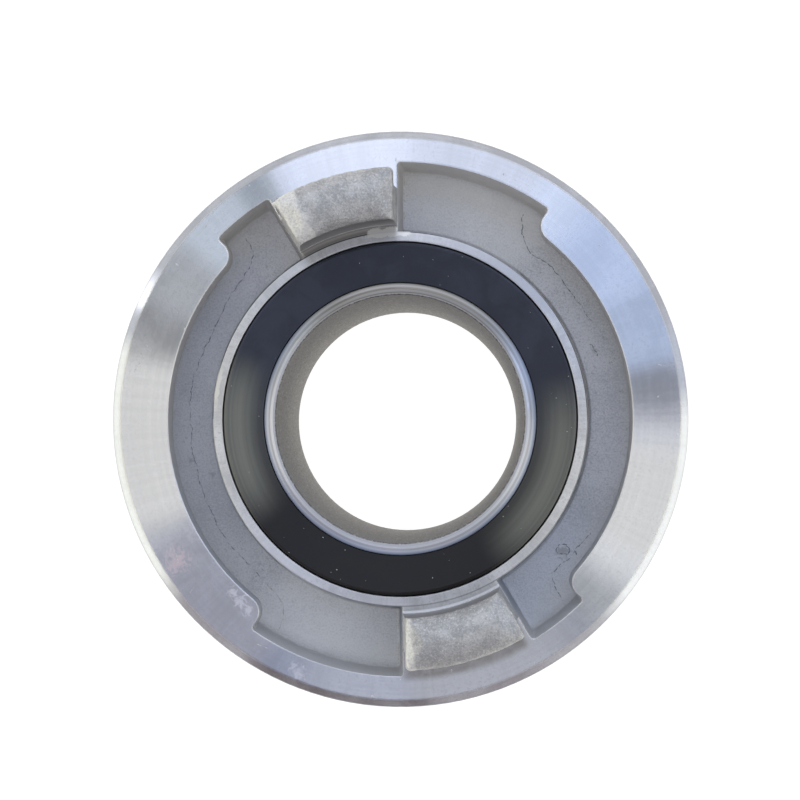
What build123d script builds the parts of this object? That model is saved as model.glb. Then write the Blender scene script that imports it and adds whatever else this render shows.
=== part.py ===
from build123d import *
from math import atan2, cos, degrees, hypot, radians, sin, tan
import os

# Quarter turn fire hose coupling: a lug ring that turns on a ribbed hose tail.
# The coupling stands on the open end of its hose tail, with the mating face up.
# The origin is the middle of that end, +Z is the waterway axis and all sizes are
# in millimetres. Angles are in degrees about +Z from +X, counter-clockwise seen
# from the mating face. Lugs, pockets and teeth repeat after half a turn.

# Hose tail, from its open end upwards
BORE_DIAMETER = 42.2
HOSE_DIAMETER = 52.0
HOSE_GROOVE_DEPTH = 1.7
HOSE_LANDS = 5
LAND_WIDTH = 4.6
GROOVE_WIDTH = 4.0
GROOVE_FLANK = 0.9
HOSE_ENTRY_STEP = 1.6
HOSE_ENTRY_LENGTH = 4.0
HOSE_NECK_LENGTH = 3.6
TAIL_END_CHAMFER = 0.6
JOURNAL_FOOT = 2.3

# Retaining ring behind the lug ring
WIRE_DIAMETER = 3.0
WIRE_GROOVE_DEPTH = 1.2
WIRE_CLEARANCE = 0.05
RETAINING_GAP = 26.0

# Turned bearing and hub of the lug ring
AXIAL_PLAY = 0.1
BEARING_DIAMETER = 54.0
BEARING_CHAMFER = 0.3
JOURNAL_CLEARANCE = 0.08
RING_DEPTH = 26.0
HUB_DIAMETER = 63.6
HUB_BORE_DIAMETER = 60.4
HUB_BORE_DEPTH = 9.0

# Rim of the lug ring
RIM_DIAMETER = 98.0
RIM_BEVEL = 1.3
RIM_SET_BACK = 1.0
RIM_BAND_HEIGHT = 14.0
RIM_WALL = 5.3

# Cast trough between hub and rim
TROUGH_DEPTH = 12.0
TROUGH_FILLET = 2.4
FLOOR_THICKNESS = 4.5
DRAFT = 3.5

# Teeth and the pockets between them
TOOTH_REACH = 4.2
POCKET_START = 54.6
POCKET_SWEEP = 80.7
TOOTH_DRAFT = 2.0
TOOTH_END_ROUND = 2.8
POCKET_CORNER_ROUND = 0.6
TOOTH_THICKNESS_ENTRY = 5.6
TOOTH_THICKNESS_LOCKED = 7.0

# Lugs
LUG_START = 90.7
LUG_SWEEP = 30.2
LUG_INNER_DIAMETER = 66.0
TOOTH_CLEARANCE = 0.35
HOOK_REACH = 2.95
LUG_HEIGHT = 11.0
LUG_HOOK_HEIGHT = 7.2
LUG_STOCK_ANGLE = 4.0
CROWN_RISE = 2.0
LEAD_LENGTH = 3.6
LEAD_ANGLE = 30.0
LUG_EDGE_ROUND = 0.8

# Back of the lug ring
NECK_DIAMETER = 67.0
NECK_FILLET = 3.0
BACK_BEVEL = 3.5
SPANNER_RIBS = 8
RIB_WIDTH = 9.0
RIB_SET_IN = 1.5
RIB_HEIGHT = 4.5
RIB_ROUND = 1.5

# Flange and front lip of the hose tail
FLANGE_THICKNESS = 3.5
FLANGE_CLEARANCE = 0.3
LIP_WALL = 2.1
LIP_SET_BACK = 0.6
LIP_NOSE_ROUND = 1.6
LIP_EDGE_ROUND = 0.2
LIP_GROOVE_DEPTH = 0.6
LIP_GROOVE_HEIGHT = 2.2

# Face seal
SEAL_GAP = 0.3
SEAL_CLEARANCE = 0.1
SEAL_PROUD = 0.6
SEAL_SLOPE = 1.8
SEAL_NOSE_SET_IN = 0.4
SEAL_EDGE_ROUND = 0.3

# Radii that several pieces share
BORE = BORE_DIAMETER / 2
BEARING = BEARING_DIAMETER / 2
JOURNAL = BEARING - JOURNAL_CLEARANCE
HUB = HUB_DIAMETER / 2
HUB_BORE = HUB_BORE_DIAMETER / 2
RIM = RIM_DIAMETER / 2
POCKET = RIM - RIM_WALL
TOOTH = POCKET - TOOTH_REACH
LUG_NECK = TOOTH - TOOTH_CLEARANCE
LUG_HEAD = LUG_NECK + HOOK_REACH
LIP = BORE + LIP_WALL

# Heights that several pieces share
LAND_PITCH = LAND_WIDTH + GROOVE_WIDTH
LANDS_TOP = HOSE_ENTRY_LENGTH + HOSE_LANDS * LAND_PITCH - GROOVE_WIDTH
JOURNAL_BOTTOM = LANDS_TOP + HOSE_NECK_LENGTH
WIRE_MIDDLE = JOURNAL_BOTTOM + JOURNAL_FOOT + WIRE_DIAMETER / 2
RING_BACK = WIRE_MIDDLE + WIRE_DIAMETER / 2 + AXIAL_PLAY
MATING_FACE = RING_BACK + RING_DEPTH
SHOULDER = MATING_FACE - HUB_BORE_DEPTH
RIM_FACE = MATING_FACE - RIM_SET_BACK
BAND_BACK = RIM_FACE - RIM_BAND_HEIGHT
FLOOR = RIM_FACE - TROUGH_DEPTH
FLOOR_BACK = FLOOR - FLOOR_THICKNESS
FLANGE_BACK = SHOULDER + AXIAL_PLAY
SEAL_SEAT = FLANGE_BACK + FLANGE_THICKNESS

# How far an added piece reaches into the one that carries it
PASS = 1.0

# How far beyond a tooth's or lug's ends its corners are looked for
CORNER_MARGIN = 2.0

HALF_TURNS = (0, 180)


def section(points, rounds=None):
    """Return a face in the radius and height plane; rounds maps a point's number to its radius."""
    face = Plane.XZ * Polygon(*points, align=None)
    for number, radius in (rounds or {}).items():
        place = Vector(points[number][0], 0, points[number][1])
        corner = face.vertices().sort_by_distance(place)[0]
        face = fillet(corner, radius)
    return face


def turned(face, start=0.0, sweep=360.0):
    """Turn a section about the waterway axis, from a start angle through a sweep."""
    return Rot(0, 0, start) * revolve(face, Axis.Z, revolution_arc=sweep)


def twice(solid):
    """Return a solid and its copy half a turn on."""
    return [Rot(0, 0, angle) * solid for angle in HALF_TURNS]


def distance_from_axis(place):
    """Return how far a point lies from the waterway axis."""
    return hypot(place.X, place.Y)


def ring_blank():
    """Turn the lug ring's section: bearing neck, hub, trough with drafted walls, and rim."""
    neck = NECK_DIAMETER / 2
    slope = tan(radians(DRAFT))
    points = [
        (BEARING + BEARING_CHAMFER, RING_BACK),
        (BEARING, RING_BACK + BEARING_CHAMFER),
        (BEARING, SHOULDER),
        (HUB_BORE, SHOULDER),
        (HUB_BORE, MATING_FACE),
        (HUB, MATING_FACE),
        (HUB + (MATING_FACE - FLOOR) * slope, FLOOR),
        (POCKET - TROUGH_DEPTH * slope, FLOOR),
        (POCKET, RIM_FACE),
        (RIM - RIM_BEVEL, RIM_FACE),
        (RIM, RIM_FACE - RIM_BEVEL),
        (RIM, BAND_BACK),
        (RIM - BACK_BEVEL, FLOOR_BACK),
        (neck, FLOOR_BACK),
        (neck, RING_BACK),
    ]
    return turned(section(points, {7: TROUGH_FILLET, 13: NECK_FILLET}))


def tooth():
    """Make one tooth; its underside falls towards the locked end, so that it wedges a lug."""
    sweep = 180 - POCKET_SWEEP
    start = POCKET_START - sweep
    outer = (RIM - RIM_BEVEL + POCKET) / 2
    angles = (start, start + sweep / 2, start + sweep)
    tips = [(RIM_DIAMETER * cos(radians(angle)), RIM_DIAMETER * sin(radians(angle))) for angle in angles]
    outline = (Circle(outer) & Polygon((0, 0), *tips, align=None)) - Circle(TOOTH)
    inner_corners = [corner for corner in outline.vertices() if distance_from_axis(corner) < TOOTH + PASS]
    outline = fillet(inner_corners, TOOTH_END_ROUND)
    depth = max(TOOTH_THICKNESS_ENTRY, TOOTH_THICKNESS_LOCKED) + PASS
    blank = extrude(Pos(0, 0, RIM_FACE) * outline, -depth, taper=-TOOTH_DRAFT)
    middle = radians(angles[1])
    half_span = TOOTH * sin(radians(sweep / 2))
    rise = (TOOTH_THICKNESS_LOCKED - TOOTH_THICKNESS_ENTRY) / (2 * half_span)
    mean_height = RIM_FACE - (TOOTH_THICKNESS_LOCKED + TOOTH_THICKNESS_ENTRY) / 2
    normal = (rise * sin(middle), -rise * cos(middle), 1)
    underside = Plane(origin=(0, 0, mean_height), z_dir=normal)
    return split(blank, bisect_by=underside, keep=Keep.TOP)


def round_pocket_corners(ring, start, sweep):
    """Fillet the upright corners at a piece's ends on the pocket's outer wall, and half a turn on."""
    first = start - CORNER_MARGIN
    span = sweep + 2 * CORNER_MARGIN
    lean = TROUGH_DEPTH * tan(radians(DRAFT))
    corners = []
    for edge in ring.edges():
        middle = edge.center()
        angle = (degrees(atan2(middle.Y, middle.X)) - first) % 180
        heights = sorted((edge.start_point().Z, edge.end_point().Z))
        meets_rim = heights[1] > RIM_FACE - PASS / 2 and heights[0] < RIM_FACE - PASS
        on_wall = POCKET - lean < distance_from_axis(middle) < POCKET
        if meets_rim and on_wall and angle < span:
            corners.append(edge)
    return fillet(corners, POCKET_CORNER_ROUND)


def end_plane(angle, side, tilt, height, inset=0.0):
    """Return a plane across a lug's end; side is -1 at its start and 1 at its end."""
    turn = radians(angle)
    outward = Vector(-sin(turn), cos(turn), 0) * side
    lean = radians(tilt)
    normal = outward * cos(lean) + Vector(0, 0, sin(lean))
    return Plane(origin=outward * -inset + Vector(0, 0, height), z_dir=normal)


def lug_section():
    """Draw the lug on its pedestal: turned inner wall, hooked head and rounded crown."""
    inner = LUG_INNER_DIAMETER / 2
    foot = FLOOR - PASS
    hook = MATING_FACE + LUG_HOOK_HEIGHT
    top = MATING_FACE + LUG_HEIGHT
    shoulder = top - CROWN_RISE
    anchor = POCKET + PASS
    sides = Plane.XZ * Polyline(
        (inner, shoulder),
        (inner, MATING_FACE),
        (HUB - PASS, MATING_FACE),
        (HUB - PASS, foot),
        (anchor, foot),
        (anchor, RIM_FACE),
        (LUG_NECK, RIM_FACE),
        (LUG_NECK, hook),
        (LUG_HEAD, hook),
        (LUG_HEAD, shoulder),
    )
    crest = ((inner + LUG_HEAD) / 2, top)
    crown = Plane.XZ * ThreePointArc((LUG_HEAD, shoulder), crest, (inner, shoulder))
    return make_face([*sides.edges(), crown])


def lug():
    """Make one lug: a drafted keystone cut from its turned section, with a slope at each end."""
    block = turned(lug_section(), LUG_START - LUG_STOCK_ANGLE, LUG_SWEEP + 2 * LUG_STOCK_ANGLE)
    top = MATING_FACE + LUG_HEIGHT
    for angle, side in ((LUG_START, -1), (LUG_START + LUG_SWEEP, 1)):
        block = split(block, bisect_by=end_plane(angle, side, DRAFT, RIM_FACE), keep=Keep.BOTTOM)
        slope = end_plane(angle, side, 90 - LEAD_ANGLE, top, LEAD_LENGTH)
        block = split(block, bisect_by=slope, keep=Keep.BOTTOM)
    hook = MATING_FACE + LUG_HOOK_HEIGHT
    wall = LUG_NECK - LUG_INNER_DIAMETER / 2
    edge_round = min(LUG_EDGE_ROUND, wall / 4)
    crown = [edge for edge in block.edges() if edge.center().Z > hook + edge_round / 2]
    return fillet(crown, edge_round)


def spanner_rib():
    """Make one rib on the ring's back that a hook spanner bears on."""
    neck = NECK_DIAMETER / 2
    outer = RIM - RIB_SET_IN
    points = [
        (neck - PASS, BAND_BACK),
        (outer, BAND_BACK),
        (outer, FLOOR_BACK - RIB_HEIGHT),
        (neck - PASS, FLOOR_BACK - RIB_HEIGHT),
    ]
    rib = extrude(section(points), RIB_WIDTH / 2, both=True)
    corners = rib.edges().filter_by(Axis.Z).group_by(Axis.X)[-1]
    return fillet(corners, RIB_ROUND)


def lug_ring():
    """Make the one-piece lug ring."""
    ring = ring_blank()
    for piece in twice(tooth()):
        ring += piece
    tooth_sweep = 180 - POCKET_SWEEP
    ring = round_pocket_corners(ring, POCKET_START - tooth_sweep, tooth_sweep)
    for piece in twice(lug()):
        ring += piece
    ring = round_pocket_corners(ring, LUG_START, LUG_SWEEP)
    for step in range(SPANNER_RIBS):
        ring += Rot(0, 0, 360 / SPANNER_RIBS * step) * spanner_rib()
    return ring


def hose_tail():
    """Turn the hose tail: ribbed hose end, journal, flange and the lip inside the seal."""
    hose = HOSE_DIAMETER / 2
    root = hose - HOSE_GROOVE_DEPTH
    flange = HUB_BORE - FLANGE_CLEARANCE
    wire_half = WIRE_DIAMETER / 2 + WIRE_CLEARANCE
    lip_top = MATING_FACE - LIP_SET_BACK
    points = [
        (BORE, TAIL_END_CHAMFER),
        (BORE + TAIL_END_CHAMFER, 0),
        (hose - HOSE_ENTRY_STEP, 0),
        (hose, HOSE_ENTRY_LENGTH),
    ]
    for land in range(HOSE_LANDS):
        bottom = HOSE_ENTRY_LENGTH + land * LAND_PITCH
        if land:
            points.append((hose, bottom))
        points.append((hose, bottom + LAND_WIDTH))
        points.append((root, bottom + LAND_WIDTH + GROOVE_FLANK))
        if land < HOSE_LANDS - 1:
            points.append((root, bottom + LAND_PITCH - GROOVE_FLANK))
    points += [
        (root, JOURNAL_BOTTOM - GROOVE_FLANK),
        (JOURNAL, JOURNAL_BOTTOM),
        (JOURNAL, WIRE_MIDDLE - wire_half),
        (JOURNAL - WIRE_GROOVE_DEPTH, WIRE_MIDDLE - wire_half),
        (JOURNAL - WIRE_GROOVE_DEPTH, WIRE_MIDDLE + wire_half),
        (JOURNAL, WIRE_MIDDLE + wire_half),
        (JOURNAL, FLANGE_BACK),
        (flange, FLANGE_BACK),
        (flange, SEAL_SEAT),
        (LIP - LIP_GROOVE_DEPTH, SEAL_SEAT),
        (LIP - LIP_GROOVE_DEPTH, SEAL_SEAT + LIP_GROOVE_HEIGHT),
        (LIP, SEAL_SEAT + LIP_GROOVE_HEIGHT),
        (LIP, lip_top),
        (BORE, lip_top),
    ]
    last = len(points) - 1
    return turned(section(points, {last: LIP_EDGE_ROUND, last - 1: LIP_NOSE_ROUND}))


def face_seal():
    """Turn the seal: it snaps into the groove behind the lip and slopes in from a proud nose."""
    outer = HUB_BORE - SEAL_GAP
    inner = LIP + SEAL_CLEARANCE
    bead = LIP - LIP_GROOVE_DEPTH + SEAL_CLEARANCE
    bead_top = SEAL_SEAT + LIP_GROOVE_HEIGHT - SEAL_CLEARANCE
    nose = MATING_FACE + SEAL_PROUD
    points = [
        (bead, SEAL_SEAT),
        (outer, SEAL_SEAT),
        (outer, nose - SEAL_NOSE_SET_IN),
        (outer - SEAL_NOSE_SET_IN, nose),
        (inner, nose - SEAL_SLOPE),
        (inner, bead_top),
        (bead, bead_top),
    ]
    return turned(section(points, {2: SEAL_EDGE_ROUND, 3: SEAL_EDGE_ROUND}))


def retaining_ring():
    """Bend the split wire ring that holds the lug ring on the tail."""
    radius = JOURNAL - WIRE_GROOVE_DEPTH + WIRE_CLEARANCE + WIRE_DIAMETER / 2
    wire = Plane.XZ * Pos(radius, WIRE_MIDDLE) * Circle(WIRE_DIAMETER / 2)
    return turned(wire, RETAINING_GAP / 2, 360 - RETAINING_GAP)


PIECES = {
    "lug_ring": lug_ring,
    "hose_tail": hose_tail,
    "face_seal": face_seal,
    "retaining_ring": retaining_ring,
}

os.makedirs("parts", exist_ok=True)
for name, make in PIECES.items():
    export_step(make(), f"parts/{name}.step")
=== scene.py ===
# %% [markdown]
# # Dressing a quarter turn fire hose coupling
#
# A cast aluminium ring with two hooked lugs turns on a ribbed hose tail. A
# rubber seal lies round the waterway. The CAD model already has every solid at
# its true size and place, so this script only adds what CAD leaves out: cast
# skin, turning marks, a parting line, nicks, dust, light and a camera.
#
# Everything is in metres, and `MM` turns the drawing's millimetres into them.

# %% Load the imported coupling
from math import cos, hypot, pi, radians, sin

import bmesh
import bpy
from mathutils import Matrix, Vector


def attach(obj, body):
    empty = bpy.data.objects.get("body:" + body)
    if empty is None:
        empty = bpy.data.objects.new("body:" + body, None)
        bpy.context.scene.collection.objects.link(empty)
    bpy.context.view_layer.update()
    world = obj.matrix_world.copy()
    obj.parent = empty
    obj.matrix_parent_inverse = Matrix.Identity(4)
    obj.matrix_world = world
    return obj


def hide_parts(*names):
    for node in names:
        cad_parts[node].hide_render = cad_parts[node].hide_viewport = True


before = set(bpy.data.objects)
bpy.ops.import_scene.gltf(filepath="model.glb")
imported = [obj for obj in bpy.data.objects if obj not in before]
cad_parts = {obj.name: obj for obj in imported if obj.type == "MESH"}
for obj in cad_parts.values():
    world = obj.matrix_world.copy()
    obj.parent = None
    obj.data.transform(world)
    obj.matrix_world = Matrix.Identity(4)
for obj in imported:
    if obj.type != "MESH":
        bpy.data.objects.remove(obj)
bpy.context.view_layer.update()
MM = 0.001
print("nodes:", sorted(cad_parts))

# %% [markdown]
# ## The camera
#
# The photograph looks almost straight down the waterway. The far end of the
# bore shows off centre, and that shift gives the camera's place. A look-at
# helper could turn the camera, but it takes the picture's upright from the
# vertical axis, which is no help when looking straight down. So the three axes
# are worked out here, with +Y as the top of the picture.

# %% Camera
CAMERA_PLACE = Vector((9.9, -3.3, 608.0)) * MM
CAMERA_AIM = Vector((0.0, 3.2, 78.0)) * MM
SENSOR_MM, LENS_MM = 36.0, 140.7

photo_camera = bpy.data.objects.new("photo_camera", bpy.data.cameras.new("photo_camera"))
photo_camera.data.sensor_width = SENSOR_MM
photo_camera.data.lens = LENS_MM
back = (CAMERA_PLACE - CAMERA_AIM).normalized()
right = Vector((0, 1, 0)).cross(back).normalized()
up = back.cross(right)
photo_camera.rotation_euler = Matrix((right, up, back)).transposed().to_euler()
photo_camera.location = CAMERA_PLACE
bpy.context.scene.collection.objects.link(photo_camera)
bpy.context.scene.camera = photo_camera
print("camera height above the mating face, mm:", round((CAMERA_PLACE.z - CAMERA_AIM.z) / MM))

# %% [markdown]
# ## Small helpers for node trees
#
# Shader trees and Geometry Nodes trees are built in the same way: add a node,
# set its options, then fill each input with a number or with another node's
# output. One helper does all three, and the rest of the script stays short. The
# others wrap the nodes that come back most: sums and products of masks, a soft
# step between two limits, parts of a vector, and a mix of two colours.

# %% Node helpers
def add(tree, kind, inputs=(), **options):
    """Add a node; inputs maps a socket's name or number to a value or to another socket."""
    made = tree.nodes.new(kind)
    for name, value in options.items():
        setattr(made, name, value)
    for key, value in dict(inputs).items():
        if isinstance(value, bpy.types.NodeSocket):
            tree.links.new(value, made.inputs[key])
        else:
            made.inputs[key].default_value = value
    return made


def maths(tree, operation, *values, clamp=False):
    """Add a Math node and return its output."""
    made = add(tree, "ShaderNodeMath", dict(enumerate(values)), operation=operation)
    made.use_clamp = clamp
    return made.outputs[0]


def product(tree, first, *others):
    """Multiply numbers or masks."""
    for other in others:
        first = maths(tree, "MULTIPLY", first, other)
    return first


def total(tree, first, *others):
    """Add numbers or masks."""
    for other in others:
        first = maths(tree, "ADD", first, other)
    return first


def vectors(tree, operation, *values):
    """Add a Vector Math node and return its number or else its vector."""
    made = add(tree, "ShaderNodeVectorMath", dict(enumerate(values)), operation=operation)
    gives_number = operation in ("LENGTH", "DISTANCE", "DOT_PRODUCT")
    return made.outputs["Value" if gives_number else "Vector"]


def scaled(tree, vector, factor):
    """Return a vector times a number."""
    inputs = {0: vector, "Scale": factor}
    return add(tree, "ShaderNodeVectorMath", inputs, operation="SCALE").outputs[0]


def part_of(tree, vector, axis):
    """Return one part of a vector: 0 is X, 1 is Y and 2 is Z."""
    return add(tree, "ShaderNodeSeparateXYZ", {0: vector}).outputs[axis]


def between(tree, value, low, high, to_low=0.0, to_high=1.0, smooth=True):
    """Map a value from one range to another, clamped at both ends."""
    inputs = {"Value": value, "From Min": low, "From Max": high}
    inputs.update({"To Min": to_low, "To Max": to_high})
    kind = "SMOOTHSTEP" if smooth else "LINEAR"
    return add(tree, "ShaderNodeMapRange", inputs, interpolation_type=kind).outputs[0]


def mixed(tree, factor, first, second):
    """Mix two colours; of the Mix node's sockets, 6 and 7 are its colours."""
    inputs = {0: factor, 6: first, 7: second}
    return add(tree, "ShaderNodeMix", inputs, data_type="RGBA").outputs[2]


def noise(tree, vector, scale, detail=2.0, roughness=0.5, distortion=0.0):
    """Add a noise texture and return its value."""
    inputs = {"Vector": vector, "Scale": scale, "Detail": detail}
    inputs.update({"Roughness": roughness, "Distortion": distortion})
    return add(tree, "ShaderNodeTexNoise", inputs).outputs[0]


def grey(value):
    """Return a neutral colour."""
    return (value, value, value, 1.0)


def within(tree, value, low, high, soft):
    """Return 1 where a value lies between two limits and 0 outside them."""
    rise = between(tree, value, low - soft, low + soft)
    return product(tree, rise, between(tree, value, high + soft, high - soft))


def paint(tree, shader, colour):
    """Give a shader its first base colour."""
    tree.links.new(colour, shader.inputs["Base Color"])


def stain(tree, shader, mask, colour):
    """Lay a colour over a shader's present base colour where the mask is 1."""
    below = shader.inputs["Base Color"].links[0].from_socket
    paint(tree, shader, mixed(tree, mask, below, colour))


# %% [markdown]
# ## The light
#
# Bright metal shows its surroundings more than its own colour, so the sky round
# the part matters most. Turning leaves fine circular grooves, and such grooves
# smear each reflection into a radial fan. A sky that changes sharply with the
# compass direction then gives the crisp wedges of light on the rim.
#
# The sky has two belts. Each is a list of sectors: the direction where a sector
# starts, in degrees clockwise from the top of the picture, and its colour. The
# overhead belt is bluish and bright from the upper left round to the right, and
# has dim gaps that stand in the rim as dark wedges. Straight overhead the sky is
# plain and calm. The side belt lights bevels and walls. An image of a real
# studio would do as well, but sectors are easier to tune.

# %% World
OVERHEAD = (
    (-180, (0.34, 0.37, 0.49)),
    (-148, (0.39, 0.40, 0.48)),
    (-113, (0.37, 0.37, 0.38)),
    (-74, (0.33, 0.34, 0.36)),
    (-65, (0.45, 0.47, 0.51)),
    (-52, (0.62, 0.69, 0.80)),
    (-37, (0.38, 0.43, 0.50)),
    (-29, (0.71, 0.80, 1.04)),
    (0, (0.52, 0.60, 0.81)),
    (29, (0.60, 0.72, 1.01)),
    (60, (0.50, 0.60, 0.83)),
    (77, (0.32, 0.34, 0.41)),
    (96, (0.39, 0.40, 0.41)),
    (120, (0.42, 0.44, 0.48)),
    (138, (0.33, 0.35, 0.42)),
)
SIDES = (
    (-180, (0.08, 0.05, 0.06)),
    (-148, (0.33, 0.30, 0.33)),
    (-125, (1.25, 1.27, 1.18)),
    (-72, (0.56, 0.58, 0.64)),
    (-68, (2.00, 2.05, 2.20)),
    (-62, (0.50, 0.52, 0.58)),
    (-54, (0.51, 0.52, 0.58)),
    (70, (0.54, 0.58, 0.70)),
    (86, (1.25, 1.27, 1.25)),
    (132, (0.46, 0.45, 0.48)),
    (148, (0.27, 0.24, 0.27)),
)
STRAIGHT_UP = (0.46, 0.48, 0.54, 1)
SKY_STRENGTH = 1.2


def compass_belt(tree, compass, sectors, soft):
    """Colour a belt of the sky by sectors whose borders blend over a few degrees."""
    share = between(tree, compass, -180.0, 180.0, smooth=False)
    made = add(tree, "ShaderNodeValToRGB", {"Fac": share})
    elements = made.color_ramp.elements
    elements[0].color = elements[1].color = (*sectors[0][1], 1.0)
    for (_, before), (angle, after) in zip(sectors, sectors[1:]):
        for place, colour in ((angle - soft, before), (angle + soft, after)):
            elements.new((place + 180.0) / 360.0).color = (*colour, 1.0)
    elements.new((180.0 - 2 * soft) / 360.0 + 0.5).color = (*sectors[-1][1], 1.0)
    return made.outputs[0]


studio = bpy.data.worlds.new("studio")
bpy.context.scene.world = studio
studio.use_nodes = True
tree = studio.node_tree
tree.nodes.clear()
toward = add(tree, "ShaderNodeTexCoord").outputs["Generated"]
parts = add(tree, "ShaderNodeSeparateXYZ", {0: toward})
compass = maths(tree, "DEGREES", maths(tree, "ARCTAN2", parts.outputs[0], parts.outputs[1]))
tilt = maths(tree, "DEGREES", maths(tree, "ARCCOSINE", parts.outputs[2]))
overhead_belt = compass_belt(tree, compass, OVERHEAD, 1.2)
side_belt = compass_belt(tree, compass, SIDES, 4.0)
sky = mixed(tree, between(tree, tilt, 6.0, 18.0), STRAIGHT_UP, overhead_belt)
sky = mixed(tree, between(tree, tilt, 62.0, 76.0), sky, side_belt)
lit = add(tree, "ShaderNodeBackground", {"Color": sky, "Strength": SKY_STRENGTH})
tree.links.new(lit.outputs[0], add(tree, "ShaderNodeOutputWorld").inputs[0])
print("sectors of the sky's belts:", len(OVERHEAD), len(SIDES))

# %% [markdown]
# ## Lamps and floor
#
# Four large lamps give the soft shading in the cast trough and the pale sheen on
# both sides of the rubber seal. One each stands to the left, the right and the
# top of the picture, and a dim one at its bottom fills the shadows. A sun would
# be simpler, but its small disc makes hard little sparks. The floor has its own
# pale colour and keeps the part's shadow. Rays from the camera, and reflections
# in the metal, also see the floor's own white, so it reads as the white sheet
# under the photographed part. The sheet fades out half a metre away, so that the
# rim's outer bevel mirrors the side belt and not only white.

# %% Lamps
LAMP_AIM = Vector((0, 0, 70 * MM))


def soft_lamp(name, place, size, strength, colour):
    """Add a square lamp that faces the middle of the part; strength is its brightness."""
    lamp = bpy.data.objects.new(name, bpy.data.lights.new(name, "AREA"))
    lamp.data.size = size
    lamp.data.energy = strength * pi * size * size
    lamp.data.color = colour
    lamp.location = place
    toward_part = LAMP_AIM - Vector(place)
    lamp.rotation_euler = toward_part.to_track_quat("-Z", "Y").to_euler()
    bpy.context.scene.collection.objects.link(lamp)
    print(name, "at", place)


soft_lamp("left_lamp", (-0.62, -0.05, 1.10), 0.45, 0.72, (1.0, 0.99, 0.96))
soft_lamp("right_lamp", (0.60, -0.20, 1.10), 0.45, 0.66, (1.0, 0.99, 0.97))
soft_lamp("top_lamp", (0.10, 1.15, 0.95), 1.2, 0.48, (1.0, 0.98, 0.94))
soft_lamp("low_lamp", (0.12, -0.95, 1.15), 0.9, 0.22, (1.0, 0.98, 0.93))

# %% Floor
FADE_FROM, FADE_TO = 0.34, 0.52

sheet = bmesh.new()
bmesh.ops.create_grid(sheet, x_segments=8, y_segments=8, size=2.0)
floor = bpy.data.objects.new("floor", bpy.data.meshes.new("floor"))
sheet.to_mesh(floor.data)
sheet.free()
bpy.context.scene.collection.objects.link(floor)

floor_paint = bpy.data.materials.new("floor_paint")
floor_paint.use_nodes = True
tree = floor_paint.node_tree
tree.nodes.clear()
ray = add(tree, "ShaderNodeLightPath")
seen = maths(tree, "ADD", ray.outputs["Is Camera Ray"], ray.outputs["Is Glossy Ray"], clamp=True)
seen = maths(tree, "ADD", seen, ray.outputs["Is Transmission Ray"], clamp=True)
matt = add(tree, "ShaderNodeBsdfDiffuse", {"Color": grey(0.82)})
matt_seen = add(tree, "ShaderNodeBsdfDiffuse", {"Color": grey(0.12)})
white = add(tree, "ShaderNodeEmission", {"Color": grey(1.0), "Strength": 1.0})
both = add(tree, "ShaderNodeAddShader", {0: matt_seen.outputs[0], 1: white.outputs[0]})
chosen = add(tree, "ShaderNodeMixShader", {0: seen, 1: matt.outputs[0], 2: both.outputs[0]})
from_middle = vectors(tree, "LENGTH", add(tree, "ShaderNodeTexCoord").outputs["Object"])
fade = between(tree, from_middle, FADE_FROM, FADE_TO)
clear = add(tree, "ShaderNodeBsdfTransparent")
faded = add(tree, "ShaderNodeMixShader", {0: fade, 1: chosen.outputs[0], 2: clear.outputs[0]})
tree.links.new(faded.outputs[0], add(tree, "ShaderNodeOutputMaterial").inputs[0])
floor.data.materials.append(floor_paint)
print("the floor fades out between", FADE_FROM, "and", FADE_TO, "m")

# %% [markdown]
# ## One ruler for all finishes
#
# Turned marks follow circles round the waterway, so the finishes need polar
# coordinates. This group reads Object coordinates and gives the radius and
# height in millimetres and the angle in degrees. Groove is the same for a whole
# circle, so noise on it makes rings; Spoke is the same along a radius, so noise
# on it makes rays. The group is built once and used in every material, which is
# easier to follow than the same nodes copied about.
#
# Handled edges are never knife sharp. Rounding them all in the mesh would double
# its faces, so a Bevel node rounds their shading, and where it turns the normal
# the edge gets a painted pale highlight line, strongest on the left and right
# sides of the picture.

# %% Polar ruler group
ruler_tree = bpy.data.node_groups.new("polar_ruler", "ShaderNodeTree")
for name in ("Radius", "Height", "Angle"):
    ruler_tree.interface.new_socket(name, in_out="OUTPUT", socket_type="NodeSocketFloat")
for name in ("Place", "Groove", "Spoke"):
    ruler_tree.interface.new_socket(name, in_out="OUTPUT", socket_type="NodeSocketVector")
tree = ruler_tree
place = scaled(tree, add(tree, "ShaderNodeTexCoord").outputs["Object"], 1.0 / MM)
parts = add(tree, "ShaderNodeSeparateXYZ", {0: place})
flat = add(tree, "ShaderNodeCombineXYZ", {0: parts.outputs[0], 1: parts.outputs[1]}).outputs[0]
radius = vectors(tree, "LENGTH", flat)
angle = maths(tree, "DEGREES", maths(tree, "ARCTAN2", parts.outputs[1], parts.outputs[0]))
groove = add(tree, "ShaderNodeCombineXYZ", {0: radius, 1: parts.outputs[2]})
spoke = vectors(tree, "NORMALIZE", flat)
out = add(tree, "NodeGroupOutput")
for number, socket in enumerate((radius, parts.outputs[2], angle, place, groove.outputs[0], spoke)):
    tree.links.new(socket, out.inputs[number])
print("ruler outputs:", [item.name for item in ruler_tree.interface.items_tree])


# %% Helpers for finishes
QUARTER_TURN = 0.25


def finish(name):
    """Start a material: return it with its tree, its shader and the polar ruler's outputs."""
    material = bpy.data.materials.new(name)
    material.use_nodes = True
    made = material.node_tree
    made.nodes.clear()
    shader = add(made, "ShaderNodeBsdfPrincipled")
    made.links.new(shader.outputs[0], add(made, "ShaderNodeOutputMaterial").inputs[0])
    ruler = add(made, "ShaderNodeGroup")
    ruler.node_tree = ruler_tree
    return material, made, shader, ruler.outputs


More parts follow.
